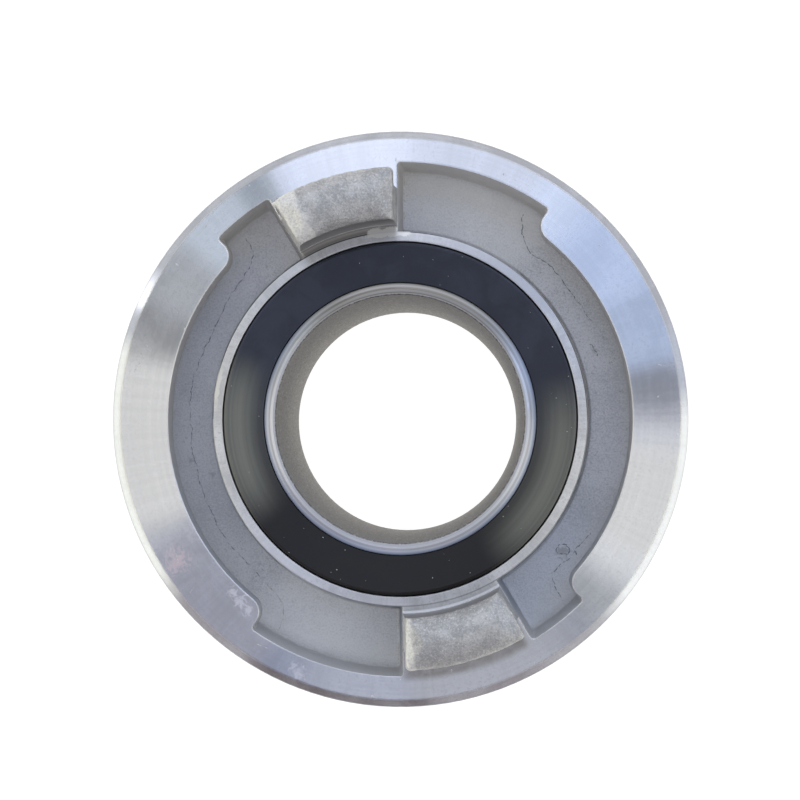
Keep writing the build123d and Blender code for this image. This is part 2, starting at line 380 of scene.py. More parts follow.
def spot(tree, ruler, radius, angle, size):
    """Return a ragged round mask at a radius and an angle; all lengths in millimetres."""
    centre = (radius * cos(radians(angle)), radius * sin(radians(angle)), 0.0)
    off = vectors(tree, "DISTANCE", vectors(tree, "MULTIPLY", ruler["Place"], (1, 1, 0)), centre)
    torn = product(tree, noise(tree, ruler["Place"], 0.8, 5.0, 0.75, 1.0), size * 4.0)
    return between(tree, total(tree, off, torn), size * 3.0, size * 2.2)


def soft_edge(tree, shader, ruler, radius, colour):
    """Round the look of sharp edges, paint a pale highlight on them, and return the rounded normal.
    """
    rounded = add(tree, "ShaderNodeBevel", {"Radius": radius * MM}, samples=4).outputs[0]
    true = add(tree, "ShaderNodeNewGeometry").outputs["True Normal"]
    edge = between(tree, vectors(tree, "DOT_PRODUCT", rounded, true), 0.995, 0.94)
    # Painted pale highlight along the edge, strongest on the left and right of the picture.
    sideways = maths(tree, "ABSOLUTE", part_of(tree, ruler["Spoke"], 0))
    painted_light_mask = product(tree, edge, between(tree, sideways, 0.2, 0.8, 0.15, 1.0))
    stain(tree, shader, painted_light_mask, colour)
    return rounded


def bumped(tree, height, strength, distance, normal=None):
    """Return the shading normal of a bump, over another normal if one is given."""
    inputs = {"Height": height, "Strength": strength, "Distance": distance}
    if normal is not None:
        inputs["Normal"] = normal
    return add(tree, "ShaderNodeBump", inputs).outputs[0]


def facing_up(tree):
    """Return how far the mesh itself faces up: 1 on a level face and 0 on a wall."""
    return part_of(tree, add(tree, "ShaderNodeNewGeometry").outputs["True Normal"], 2)


def lathe_grooves(tree, shader, spread):
    """Make a shader's reflections spread across grooves that run round the axis."""
    shader.inputs["Metallic"].default_value = 1.0
    shader.inputs["Anisotropic"].default_value = spread
    shader.inputs["Anisotropic Rotation"].default_value = QUARTER_TURN
    tangent = add(tree, "ShaderNodeTangent", direction_type="RADIAL", axis="Z")
    tree.links.new(tangent.outputs[0], shader.inputs["Tangent"])


print("helpers for finishes are ready; materials so far:", len(bpy.data.materials))

# %% [markdown]
# ## Cast aluminium
#
# The trough, the pocket walls and the ring's back keep the skin of the mould: a
# grainy light grey with darker stains and fine painted glints. Real skin is bumpy
# at two scales. The larger lumps are moved into the mesh further down; the sand
# grain here is bump only, because it is finer than the mesh. The walls get painted
# shade, cold in the lower half of the picture and warm in the upper half, and the
# foot of the hub's wall a darker painted shade.

# %% Cast finish
def cast_finish(name, light, dark, stain_size, contrast, metal, gloss):
    """Make a cast skin; the stain size is in millimetres and gloss is the shader's roughness."""
    material, tree, shader, ruler = finish(name)
    place = ruler["Place"]
    cloud = noise(tree, place, 1.0 / stain_size, 5.0, 0.62, 0.4)
    sand = noise(tree, place, 3.0, 3.0, 0.7)
    tone = total(tree, product(tree, cloud, contrast), product(tree, sand, 1.0 - contrast))
    paint(tree, shader, mixed(tree, between(tree, tone, 0.40, 0.59), dark, light))
    # Painted glints: white flecks that stand in for sparkles of light, more on less metallic skins.
    painted_glint = between(tree, noise(tree, place, 2.7, 2.0, 0.7), 0.55, 0.65, 0.0, 0.9 - metal)
    stain(tree, shader, painted_glint, grey(1.0))
    pit = between(tree, noise(tree, place, 2.1, 2.0, 0.6), 0.40, 0.28, 0.0, 0.34)
    stain(tree, shader, pit, (0.30, 0.29, 0.28, 1))
    # Painted shade on the walls below the rim face, cold in the lower half of the picture and warm
    # in the upper half.
    upright = between(tree, facing_up(tree), 0.6, 0.2)
    painted_wall_shade = product(tree, upright, between(tree, ruler["Height"], 77.2, 76.8, 0.0, 0.75))
    downward = between(tree, part_of(tree, ruler["Spoke"], 1), 0.1, -0.5)
    warm, cold = (0.44, 0.41, 0.37, 1), (0.27, 0.285, 0.32, 1)
    stain(tree, shader, painted_wall_shade, mixed(tree, downward, warm, cold))
    # Painted shade at the foot of the hub's wall, where it meets the trough floor.
    low_down = within(tree, ruler["Height"], 64.8, 65.9, 0.3)
    foot = product(tree, between(tree, ruler["Radius"], 33.1, 32.6), low_down)
    stain(tree, shader, foot, (0.16, 0.16, 0.17, 1))
    shader.inputs["Metallic"].default_value = metal
    rough = between(tree, sand, 0.3, 0.7, gloss + 0.08, gloss - 0.08, smooth=False)
    tree.links.new(rough, shader.inputs["Roughness"])
    rounded = soft_edge(tree, shader, ruler, 0.35, (0.88, 0.85, 0.77, 1))
    coarse = bumped(tree, cloud, 0.5, 0.04 * MM, rounded)
    tree.links.new(bumped(tree, sand, 0.9, 0.16 * MM, coarse), shader.inputs["Normal"])
    print("cast finish:", name)
    return material, tree, shader, ruler


# %% The trough's skin
CAST_LIGHT, CAST_DARK = (0.98, 0.98, 0.985, 1), (0.75, 0.755, 0.77, 1)
OPEN_POCKETS = ((53.0, 89.0), (-127.0, -91.5))
TROUGH_STAINS = ((36.2, -39.2, 1.5), (37.4, -169.1, 0.8), (34.3, -163.6, 0.7), (35.5, 19.5, 0.9))

cast_skin, tree, shader, ruler = cast_finish(
    "cast_skin", CAST_LIGHT, CAST_DARK, stain_size=7.0, contrast=0.35, metal=0.20, gloss=0.50
)
outer = product(tree, between(tree, ruler["Radius"], 36.5, 42.0), 0.45)
stain(tree, shader, outer, (0.90, 0.87, 0.79, 1))
trough_floor = between(tree, ruler["Height"], 65.9, 65.5)
bluish = product(tree, within(tree, ruler["Angle"], -66.0, -30.0, 6.0), 0.35, trough_floor)
stain(tree, shader, bluish, (0.90, 0.94, 1.0, 1))
# Painted shade on the trough floor towards the left of the picture.
painted_left_shade = between(tree, part_of(tree, ruler["Spoke"], 0), -0.5, -0.95, 0.0, 0.35)
stain(tree, shader, product(tree, painted_left_shade, trough_floor), (0.55, 0.57, 0.61, 1))
# Painted light on the floor of the two open pockets.
for low, high in OPEN_POCKETS:
    painted_pocket_light = product(tree, within(tree, ruler["Angle"], low, high, 4.0), trough_floor, 0.45)
    stain(tree, shader, painted_pocket_light, (1.0, 0.99, 0.96, 1))
for radius, angle, size in TROUGH_STAINS:
    soot = product(tree, spot(tree, ruler, radius, angle, size), 0.5)
    stain(tree, shader, soot, (0.38, 0.37, 0.39, 1))

# %% The lugs' skin
LUG_LIGHT, LUG_DARK = (0.62, 0.60, 0.555, 1), (0.41, 0.40, 0.375, 1)
LUG_END_HIGHLIGHTS = ((117.0, 128.0), (-92.0, -84.5))

lug_skin, tree, shader, ruler = cast_finish(
    "lug_skin", LUG_LIGHT, LUG_DARK, stain_size=3.0, contrast=0.55, metal=0.60, gloss=0.40
)
sand = between(tree, noise(tree, ruler["Place"], 2.6, 3.0, 0.7), 0.35, 0.60, 0.45, 0.95)
wander = product(tree, noise(tree, ruler["Place"], 0.5, 4.0, 0.6), 4.0)
wander = total(tree, ruler["Angle"], wander)
# Painted cream highlight on the left end of each lug, speckled by the sand noise.
for low, high in LUG_END_HIGHLIGHTS:
    painted_end_highlight = product(tree, within(tree, wander, low, high, 0.7), sand)
    stain(tree, shader, painted_end_highlight, (0.93, 0.90, 0.81, 1))

# %% [markdown]
# ## Turned aluminium
#
# The rim, the hub and the lugs' inner walls were cut on a lathe. Three things
# make that look. The grooves are noise read along radius and height, so they
# close into rings on any turned face. Reflections spread across the grooves:
# that is the shader's anisotropy, turned a quarter so that it runs across them,
# with a tangent that runs round the axis. And each groove has one long flank,
# as the tool leaves it, so the face mirrors a sky that lies a little outwards; a
# bump that falls with the radius does that. Modelled grooves would look the same
# from here and cost a million faces.

# %% Turned finish
def turned_finish(name, colour, gloss, spread, flank, wear):
    """Make a lathe-turned finish; flank is the grooves' slope and wear the depth of its clouds."""
    material, tree, shader, ruler = finish(name)
    rings = noise(tree, scaled(tree, ruler["Groove"], 6.0), 1.0, 2.0, 0.6)
    broad = noise(tree, ruler["Groove"], 1.3, 3.0, 0.6)
    cloud = noise(tree, ruler["Place"], 0.13, 4.0, 0.6, 0.6)
    chatter = noise(tree, scaled(tree, ruler["Spoke"], 38.0), 1.0, 3.0, 0.65)
    light = (*colour, 1.0)
    dull = tuple(channel * (1.0 - wear) for channel in colour) + (1.0,)
    shares = ((broad, 0.25), (cloud, 0.55), (chatter, 0.20))
    tone = total(tree, *(product(tree, part, share) for part, share in shares))
    paint(tree, shader, mixed(tree, between(tree, tone, 0.60, 0.38), light, dull))
    grain = noise(tree, ruler["Place"], 2.8, 2.0, 0.6)
    stain(tree, shader, between(tree, grain, 0.46, 0.34, 0.0, 0.7), dull)
    lathe_grooves(tree, shader, spread)
    rough = between(tree, cloud, 0.35, 0.65, gloss - 0.03, gloss + 0.03, smooth=False)
    tree.links.new(rough, shader.inputs["Roughness"])
    lean = product(tree, between(tree, facing_up(tree), 0.85, 0.95), flank)
    slope = product(tree, ruler["Radius"], lean)
    height = maths(tree, "SUBTRACT", product(tree, rings, 0.002), slope)
    rounded = soft_edge(tree, shader, ruler, 0.45, (0.96, 0.93, 0.85, 1))
    tree.links.new(bumped(tree, height, 1.0, MM, rounded), shader.inputs["Normal"])
    print("turned finish:", name)
    return material, tree, shader, ruler


# %% The rim
RIM_COLOUR = (0.70, 0.705, 0.715)
WHITE = (1.0, 1.0, 1.0, 1)
RIM_SCUFFS = (
    (41.4, -128.5, 1.3, WHITE),
    (41.2, -131.0, 1.4, WHITE),
    (41.0, -134.0, 1.2, WHITE),
    (45.0, -147.5, 2.6, (0.92, 0.80, 0.78, 1)),
    (46.5, -112.0, 1.6, (0.95, 0.93, 0.90, 1)),
    (44.5, 24.0, 2.2, (0.62, 0.62, 0.64, 1)),
)

turned_rim, tree, shader, ruler = turned_finish(
    "turned_rim", RIM_COLOUR, gloss=0.165, spread=1.0, flank=0.26, wear=0.14
)
side_wall = product(tree, between(tree, ruler["Height"], 76.2, 75.4), 0.8)
stain(tree, shader, side_wall, (0.50, 0.505, 0.515, 1))
# Painted reflection of the lower lug: a ragged dark brown band on the rim beside it.
painted_light_mask = between(tree, noise(tree, ruler["Place"], 0.45, 5.0, 0.7, 0.6), 0.30, 0.70, 0.65, 0.95)
below_lug = within(tree, ruler["Angle"], -89.3, -60.5, 1.0)
near_lug = between(tree, ruler["Radius"], 45.0, 43.4)
stain(tree, shader, product(tree, below_lug, near_lug, painted_light_mask), (0.31, 0.29, 0.265, 1))
for radius, angle, size, colour in RIM_SCUFFS:
    stain(tree, shader, product(tree, spot(tree, ruler, radius, angle, size), 0.85), colour)

# %% The hub
HUB_COLOUR = (0.88, 0.87, 0.85)
# Painted light and shade on the hub face, by angle: darker, then white.
HUB_LIGHT_AND_SHADE = ((38.0, 78.0, (0.56, 0.56, 0.57, 1)), (-142.0, -118.0, WHITE))
UNCUT_PATCHES = ((89.0, 102.0, 0.5, 0.85), (166.0, 177.0, 3.0, 0.7))

turned_hub, tree, shader, ruler = turned_finish(
    "turned_hub", HUB_COLOUR, gloss=0.46, spread=0.8, flank=0.22, wear=0.26
)
radius, height = ruler["Radius"], ruler["Height"]
# On the ledge, brown brushed lines, with painted shade making them much stronger in the upper half
# of the picture; in the lower half a painted white highlight line.
upper = between(tree, ruler["Angle"], -5.0, 5.0)
lines = between(tree, noise(tree, ruler["Groove"], 3.4, 2.0, 0.6), 0.35, 0.65)
brown = mixed(tree, lines, (0.33, 0.31, 0.28, 1), (0.62, 0.59, 0.53, 1))
ledge = product(tree, between(tree, radius, 31.8, 31.9), between(tree, radius, 33.0, 32.9))
stain(tree, shader, product(tree, ledge, between(tree, upper, 0.0, 1.0, 0.15, 1.0)), brown)
lower = maths(tree, "SUBTRACT", 1.0, upper)
stain(tree, shader, product(tree, within(tree, radius, 32.55, 32.85, 0.08), lower), WHITE)
# A painted shade line along the outer edge of the hub face, weaker in the lower half of the
# picture.
painted_edge_shade = within(tree, radius, 31.66, 31.86, 0.04)
painted_edge_shade = product(tree, painted_edge_shade, between(tree, upper, 0.0, 1.0, 0.45, 1.0))
stain(tree, shader, painted_edge_shade, grey(0.10))
# Painted shade on the lugs' turned inner walls above the hub face.
painted_neck_shade = product(tree, between(tree, height, 78.1, 78.5), between(tree, radius, 32.7, 32.9))
stain(tree, shader, painted_neck_shade, (0.42, 0.405, 0.385, 1))
# Painted light and shade on the hub face: darker towards the upper right of the picture, white
# towards the lower left.
hub_top = between(tree, height, 77.9, 78.0, 0.0, 0.55)
for low, high, colour in HUB_LIGHT_AND_SHADE:
    side = product(tree, within(tree, ruler["Angle"], low, high, 8.0), hub_top)
    stain(tree, shader, side, colour)
ragged = noise(tree, ruler["Place"], 0.9, 4.0, 0.7)
shift = product(tree, maths(tree, "SUBTRACT", ragged, 0.5), 1.6)
uncut = within(tree, total(tree, radius, shift), 31.0, 32.5, 0.12)
uncut = product(tree, uncut, between(tree, height, 78.2, 78.05))
torn = total(tree, ruler["Angle"], product(tree, ragged, 4.0))
for low, high, soft, strength in UNCUT_PATCHES:
    patch = product(tree, within(tree, torn, low, high, soft), uncut, strength)
    stain(tree, shader, patch, (0.97, 0.95, 0.87, 1))

# %% [markdown]
# ## The cast ring's mesh
#
# The CAD mesh has long thin triangles, fine for flat faces but too coarse for a
# lumpy cast skin. A sculpted or remeshed copy would blur the turned edges. So
# a copy of the CAD mesh is merged, every face is marked as turned or cast, and
# only the edges of cast faces are halved until they are short enough. The lugs'
# inner sides lean back a little and their cast corners are relaxed, because
# molten metal never fills a sharp corner.

# %% Mark the ring's faces
CAST, TURNED, LUG_CAST, HUB_TURNED = 0, 1, 2, 3
RIM_FACE, HUB_FACE, LUG_NECK, LUG_SHOULDER = 77.0, 78.0, 39.1, 86.0
HUB_WALL, LUG_WALL, RIM_WALL, RIM_FOOT = 30.4, 33.3, 47.4, 62.9
LEVEL, NEAR = 0.999, 0.05


def finish_of(face):
    """Say how a face of the ring was made, from where it lies and where it faces."""
    middle = face.calc_center_median() / MM
    radius = hypot(middle.x, middle.y)
    outward = (face.normal.x * middle.x + face.normal.y * middle.y) / radius
    level = face.normal.z > LEVEL
    on_hub = level and abs(middle.z - HUB_FACE) < NEAR or radius < HUB_WALL
    lug_inside = middle.z > HUB_FACE and radius < LUG_WALL and outward < -0.9
    if on_hub or lug_inside:
        return HUB_TURNED
    on_rim = level and abs(middle.z - RIM_FACE) < NEAR
    if on_rim or radius > RIM_WALL and middle.z > RIM_FOOT:
        return TURNED
    on_lug_back = middle.z > RIM_FACE and radius > LUG_NECK - 0.1
    neck_or_hook = outward > 0.97 and middle.z < LUG_SHOULDER or face.normal.z < -0.9
    if on_lug_back and neck_or_hook:
        return TURNED
    return LUG_CAST if middle.z > HUB_FACE else CAST


ring_mesh = bmesh.new()
ring_mesh.from_mesh(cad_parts["lug_ring"].data)
bmesh.ops.remove_doubles(ring_mesh, verts=ring_mesh.verts, dist=0.002 * MM)
bmesh.ops.dissolve_degenerate(ring_mesh, edges=ring_mesh.edges, dist=0.001 * MM)
made_by = ring_mesh.faces.layers.int.new("made_by")
for face in ring_mesh.faces:
    face.smooth = True
    face[made_by] = finish_of(face)
print("ring before:", len(ring_mesh.faces), "triangles")

# %% Refine the cast faces
LONGEST = 0.85
SHARP_FROM = radians(24)

for edge in ring_mesh.edges:
    edge.smooth = len(edge.link_faces) == 2 and edge.calc_face_angle(0) < SHARP_FROM


def too_long(edge):
    """Say whether an edge of a cast face is still too long to carry the lumps."""
    cast = any(face[made_by] in (CAST, LUG_CAST) for face in edge.link_faces)
    return cast and edge.calc_length() > LONGEST * MM


for step in range(9):
    long_edges = [edge for edge in ring_mesh.edges if too_long(edge)]
    if not long_edges:
        break
    bmesh.ops.subdivide_edges(ring_mesh, edges=long_edges, cuts=1)
    cut_faces = [face for face in ring_mesh.faces if len(face.verts) > 3]
    bmesh.ops.triangulate(ring_mesh, faces=cut_faces)
print("ring after", step, "rounds:", len(ring_mesh.faces), "triangles")

# %% Lean and relax the lugs
LEAN_BACK, LEAN_FROM, LEAN_OVER = 0.25, 79.0, 6.0
INNER_FROM, INNER_OVER = 38.0, 5.0
RELAX_ROUNDS = 14
SKIN_OF_TROUGH, SKIN_OF_LUG = 1.0, 1.8


def share(value):
    """Clamp a number between 0 and 1."""
    return min(max(value, 0.0), 1.0)


for point in ring_mesh.verts:
    radius = hypot(point.co.x, point.co.y) / MM
    rise = share((point.co.z / MM - LEAN_FROM) / LEAN_OVER)
    inner = share((INNER_FROM - radius) / INNER_OVER)
    point.co.xy *= 1.0 + LEAN_BACK * rise * inner / radius


def all_lug(item):
    """Say whether every face round an edge or a point is a lug's cast skin."""
    return all(face[made_by] == LUG_CAST for face in item.link_faces)


lug_points = [point for point in ring_mesh.verts if all_lug(point)]
axes = dict(use_axis_x=True, use_axis_y=True, use_axis_z=True)
for _ in range(RELAX_ROUNDS):
    bmesh.ops.smooth_vert(ring_mesh, verts=lug_points, factor=0.5, **axes)
for edge in ring_mesh.edges:
    if all_lug(edge):
        edge.smooth = True
skin = ring_mesh.verts.layers.float.new("skin")
for point in ring_mesh.verts:
    kinds = {face[made_by] for face in point.link_faces}
    cast = SKIN_OF_TROUGH if CAST in kinds else SKIN_OF_LUG
    point[skin] = 0.0 if kinds & {TURNED, HUB_TURNED} else cast
print("lug points relaxed:", len(lug_points))

# %% [markdown]
# ## Cast lumps with Geometry Nodes
#
# Every cast face gets the same rule: move each point along its normal by a
# smooth noise for the lumps and a finer one for the grain. Geometry Nodes suit
# a rule like this, because size, height and seed stay named inputs. The `skin`
# attribute keeps turned faces still and lets the lugs' skin move the most, and
# `made_by` picks the material of each face.

# %% Geometry Nodes helpers
SOCKETS = (
    (int, "NodeSocketInt"),
    (float, "NodeSocketFloat"),
    (bpy.types.Material, "NodeSocketMaterial"),
    (bpy.types.Object, "NodeSocketObject"),
)


def label_of(given):
    """Turn a Python name into the label of a socket."""
    return given.replace("_", " ")


def geometry_tree(name, **givens):
    """Start a tree with a geometry input and output and a named input for each given."""
    made = bpy.data.node_groups.new(name, "GeometryNodeTree")
    for way in ("OUTPUT", "INPUT"):
        made.interface.new_socket("Geometry", in_out=way, socket_type="NodeSocketGeometry")
    for given, value in givens.items():
        kind = next(kind for sort, kind in SOCKETS if isinstance(value, sort))
        made.interface.new_socket(label_of(given), in_out="INPUT", socket_type=kind)
    return made, add(made, "NodeGroupInput"), add(made, "NodeGroupOutput")


def seeded_noise(tree, place, given, label, detail):
    """Add a noise whose size is a named input and whose pattern follows the tree's seed."""
    inputs = {"Vector": place, "Detail": detail, "W": given.outputs["Seed"]}
    inputs["Scale"] = maths(tree, "DIVIDE", 1.0, given.outputs[label])
    return add(tree, "ShaderNodeTexNoise", inputs, noise_dimensions="4D").outputs


def realized(tree, geometry, material):
    """End a tree: turn instances into a mesh and give it its material."""
    plain = add(tree, "GeometryNodeRealizeInstances", {0: geometry})
    inputs = {"Geometry": plain.outputs[0], "Material": material}
    return add(tree, "GeometryNodeSetMaterial", inputs).outputs[0]


def grow(thing, made, **givens):
    """Run a tree on an object and return a plain mesh object with the same name."""
    modifier = thing.modifiers.new("rule", "NODES")
    modifier.node_group = made
    inputs = [item for item in made.interface.items_tree if item.in_out == "INPUT"]
    sockets = {item.name: item.identifier for item in inputs}
    for given, value in givens.items():
        modifier[sockets[label_of(given)]] = value
    if thing.name not in bpy.context.scene.collection.objects:
        bpy.context.scene.collection.objects.link(thing)
    bpy.context.view_layer.update()
    graph = bpy.context.evaluated_depsgraph_get()
    mesh = bpy.data.meshes.new_from_object(thing.evaluated_get(graph), depsgraph=graph)
    name = thing.name
    bpy.data.objects.remove(thing)
    mesh.name = name
    plain = bpy.data.objects.new(name, mesh)
    bpy.context.scene.collection.objects.link(plain)
    print(name, "has", len(mesh.polygons), "faces")
    return plain


# %% Cast skin rule
SKIN_RULE = dict(Lump_size=2.6, Lump_height=0.10, Grain_size=0.9, Grain_height=0.05, Seed=7)
RING_FINISHES = {CAST: cast_skin, TURNED: turned_rim, LUG_CAST: lug_skin, HUB_TURNED: turned_hub}

tree, given, result = geometry_tree("cast_skin_rule", **SKIN_RULE)
place = scaled(tree, add(tree, "GeometryNodeInputPosition").outputs[0], 1.0 / MM)
heights = []
for label, detail in (("Lump", 1.5), ("Grain", 1.0)):
    bumps = seeded_noise(tree, place, given, label + " size", detail)[0]
    centred = maths(tree, "SUBTRACT", bumps, 0.5)
    heights.append(product(tree, centred, given.outputs[label + " height"]))
weight = add(tree, "GeometryNodeInputNamedAttribute", {"Name": "skin"}, data_type="FLOAT")
amount = product(tree, total(tree, *heights), weight.outputs[0], 2.0 * MM)
offset = scaled(tree, add(tree, "GeometryNodeInputNormal").outputs[0], amount)
inputs = {"Geometry": given.outputs["Geometry"], "Offset": offset}
moved = add(tree, "GeometryNodeSetPosition", inputs).outputs[0]
shape = add(tree, "GeometryNodeRealizeInstances", {0: moved}).outputs[0]
kind = add(tree, "GeometryNodeInputNamedAttribute", {"Name": "made_by"}, data_type="INT")
for number, material in RING_FINISHES.items():
    same = add(tree, "FunctionNodeCompare", data_type="INT", operation="EQUAL")
    tree.links.new(kind.outputs[0], same.inputs[2])
    same.inputs[3].default_value = number
    inputs = {"Geometry": shape, "Selection": same.outputs[0], "Material": material}
    shape = add(tree, "GeometryNodeSetMaterial", inputs).outputs[0]
tree.links.new(shape, result.inputs[0])
print("nodes in the cast skin rule:", len(tree.nodes))

# %% Grow the cast ring
cast_ring = bpy.data.objects.new("cast_ring", bpy.data.meshes.new("cast_ring"))
ring_mesh.to_mesh(cast_ring.data)
cast_ring = grow(cast_ring, tree, **SKIN_RULE)
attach(cast_ring, "ring")
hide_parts("lug_ring")
ring_mesh.free()

# %% [markdown]
# ## The hose tail
#
# Only its bright lip and its bore show from the front. The lip is fine turned
# metal. The bore was cut faster and has dulled, so it is greyer and speckled.
# One material with masks by radius and height keeps both on the CAD solid. The
# lip's round nose would mirror the dark edge of the seal as a black line, so its
# shading normal is raised a little towards straight up.

# %% Tail finish
NOSE_FOOT, NOSE_TOP = 75.4, 77.4

tail_metal, tree, shader, ruler = finish("tail_metal")
radius, height = ruler["Radius"], ruler["Height"]
bore = between(tree, radius, 21.5, 21.2)
not_bore = maths(tree, "SUBTRACT", 1.0, bore)
rings = noise(tree, scaled(tree, ruler["Groove"], 5.0), 1.0, 2.0)
broad = noise(tree, ruler["Groove"], 1.6, 3.0, 0.6)
squashed = vectors(tree, "MULTIPLY", ruler["Place"], (1.0, 1.0, 0.5))
speck = noise(tree, squashed, 2.2, 3.0, 0.62)
pale = between(tree, noise(tree, squashed, 2.6, 2.0, 0.7), 0.56, 0.68)
bore_dark, bore_light = (0.18, 0.167, 0.15, 1), (0.345, 0.325, 0.297, 1)
dull = mixed(tree, between(tree, speck, 0.36, 0.64), bore_dark, bore_light)
dull = mixed(tree, product(tree, pale, 0.6), dull, (0.70, 0.68, 0.64, 1))
bright = mixed(tree, between(tree, broad, 0.40, 0.60), grey(0.58), grey(0.90))
paint(tree, shader, mixed(tree, bore, bright, dull))
# Painted bluish reflection on the lip's outer flank below its nose, stronger outwards.
painted_flank_reflection = between(tree, radius, 21.9, 23.1, 0.0, 0.85)
painted_flank_reflection = product(tree, painted_flank_reflection, between(tree, height, 75.0, NOSE_FOOT))
stain(tree, shader, painted_flank_reflection, (0.22, 0.26, 0.34, 1))
top = vectors(tree, "DOT_PRODUCT", ruler["Spoke"], (0.10, 0.99, 0.0))
top = between(tree, top, 0.35, 0.85, 0.0, 0.9)
brown = mixed(tree, between(tree, broad, 0.42, 0.60), (0.22, 0.19, 0.145, 1), (0.38, 0.35, 0.29, 1))
stain(tree, shader, product(tree, top, not_bore), brown)
outside = product(tree, between(tree, radius, 21.6, 22.0), between(tree, height, 66.0, 64.0))
tube_dark, tube_light = (0.36, 0.365, 0.37, 1), (0.50, 0.505, 0.515, 1)
stain(tree, shader, outside, mixed(tree, between(tree, broad, 0.40, 0.60), tube_dark, tube_light))
lathe_grooves(tree, shader, 0.6)
rough = between(tree, bore, 0.0, 1.0, 0.28, 0.50, smooth=False)
tree.links.new(rough, shader.inputs["Roughness"])

# %% Shading of the lip's nose
nose = between(tree, height, NOSE_TOP, 76.6, 0.0, 4.0)
nose = product(tree, nose, between(tree, height, NOSE_FOOT, 75.7), not_bore)
raised = add(tree, "ShaderNodeCombineXYZ", {2: nose}).outputs[0]
flatter = vectors(tree, "ADD", add(tree, "ShaderNodeNewGeometry").outputs["Normal"], raised)
flatter = vectors(tree, "NORMALIZE", flatter)
cut = total(tree, product(tree, rings, 0.4), noise(tree, ruler["Groove"], 3.0, 2.0))
bump = bumped(tree, mixed(tree, bore, cut, speck), 0.8, 0.04 * MM, flatter)
tree.links.new(bump, shader.inputs["Normal"])
print("tail finish:", len(tree.nodes), "nodes")

# %% [markdown]
# ## The seal and the wire ring
#
# Seal rubber is nearly black, and painted bluish light makes it a little lighter
# and bluer towards the top of the picture. Two places on its slope, on the left
# and right of the picture, have a painted pale sheen. An image mask could paint
# them, but a direction compared with each point's own is enough: their product is
# 1 in the middle of the sheen and falls off to both sides. The wire is drawn
# spring steel.

# %% Seal rubber
RUBBER_BELOW, RUBBER_TOP_LIT = (0.022, 0.020, 0.019, 1), (0.046, 0.052, 0.070, 1)
RUBBER_SHEEN, RUBBER_CLOUD = (0.225, 0.222, 0.180, 1), (0.012, 0.012, 0.014, 1)
SHEEN_PATCHES = ((-173.0, 0.16, 0.9), (-21.0, 0.22, 0.8))

seal_rubber, tree, shader, ruler = finish("seal_rubber")
rubber_clouds = noise(tree, ruler["Place"], 0.16, 4.0, 0.6, 0.5)
rings = noise(tree, ruler["Groove"], 0.9, 2.0)
# Painted bluish light towards the top of the picture.
toward_top = between(tree, part_of(tree, ruler["Spoke"], 1), -0.7, 0.5)
tone = mixed(tree, toward_top, RUBBER_BELOW, RUBBER_TOP_LIT)
tone = mixed(tree, between(tree, rubber_clouds, 0.4, 0.65, 0.25, 0.0), tone, RUBBER_CLOUD)
# Painted pale sheen on the left and right of the seal's slope.
for turn, width, strength in SHEEN_PATCHES:
    aim = (cos(radians(turn)), sin(radians(turn)), 0.0)
    along = vectors(tree, "DOT_PRODUCT", ruler["Spoke"], aim)
    painted_sheen = between(tree, along, 1.0 - width, 1.0)
    streaks = between(tree, rings, 0.25, 0.65, 0.6, 1.0)
    outer = between(tree, ruler["Radius"], 24.0, 27.0, 0.3, strength)
    tone = mixed(tree, product(tree, painted_sheen, streaks, outer), tone, RUBBER_SHEEN)
paint(tree, shader, tone)
rough = between(tree, rubber_clouds, 0.3, 0.7, 0.42, 0.50, smooth=False)
tree.links.new(rough, shader.inputs["Roughness"])
shader.inputs["Specular IOR Level"].default_value = 0.22
grain = noise(tree, ruler["Place"], 3.2, 3.0, 0.6)
height = total(tree, product(tree, rings, 0.02), product(tree, grain, 0.01))
tree.links.new(bumped(tree, height, 1.0, MM), shader.inputs["Normal"])
print("seal rubber:", len(tree.nodes), "nodes")

# %% Spring wire
spring_wire, tree, shader, ruler = finish("spring_wire")
drawn = noise(tree, ruler["Groove"], 9.0, 2.0)
paint(tree, shader, mixed(tree, between(tree, drawn, 0.35, 0.65), grey(0.40), grey(0.56)))
shader.inputs["Metallic"].default_value = 1.0
rough = between(tree, drawn, 0.3, 0.7, 0.28, 0.40, smooth=False)
tree.links.new(rough, shader.inputs["Roughness"])

# %% Dress the three CAD pieces
WORN = {"hose_tail": tail_metal, "face_seal": seal_rubber, "retaining_ring": spring_wire}
for node_name, material in WORN.items():
    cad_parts[node_name].data.materials[0] = material
    print(node_name, "wears", material.name)

# %% [markdown]
# ## Seams, burrs and scratches
#
# Two mould halves met along the trough, and the metal that crept between them
# left a dark wandering line. Burrs stand at the feet of the lugs, and the rim is
# scratched from use. All are thin raised lines that follow a path, so one tree
# makes them: it bends a path with noise, drops it onto the ring, and sweeps a
# small uneven circle along it. Painted lines would do from far off, but these
# catch the light. Each path is a list of (radius, angle) pairs, in millimetres
# and in degrees from +X.

# %% Finishes of small pieces
def plain_finish(name, dark, light, metal, gloss):
    """Make a small procedural finish for a detail piece."""
    material, tree, shader, ruler = finish(name)
    tone = noise(tree, ruler["Place"], 2.4, 3.0, 0.65)
    paint(tree, shader, mixed(tree, between(tree, tone, 0.35, 0.65), dark, light))
    shader.inputs["Metallic"].default_value = metal
    rough = between(tree, tone, 0.3, 0.7, gloss + 0.06, gloss - 0.06, smooth=False)
    tree.links.new(rough, shader.inputs["Roughness"])
    print("plain finish:", name)
    return material


seam_dark = plain_finish("seam_dark", (0.19, 0.185, 0.19, 1), (0.52, 0.52, 0.54, 1), 0.2, 0.6)
burr_pale = plain_finish("burr_pale", (0.62, 0.60, 0.54, 1), (0.93, 0.91, 0.84, 1), 0.3, 0.42)

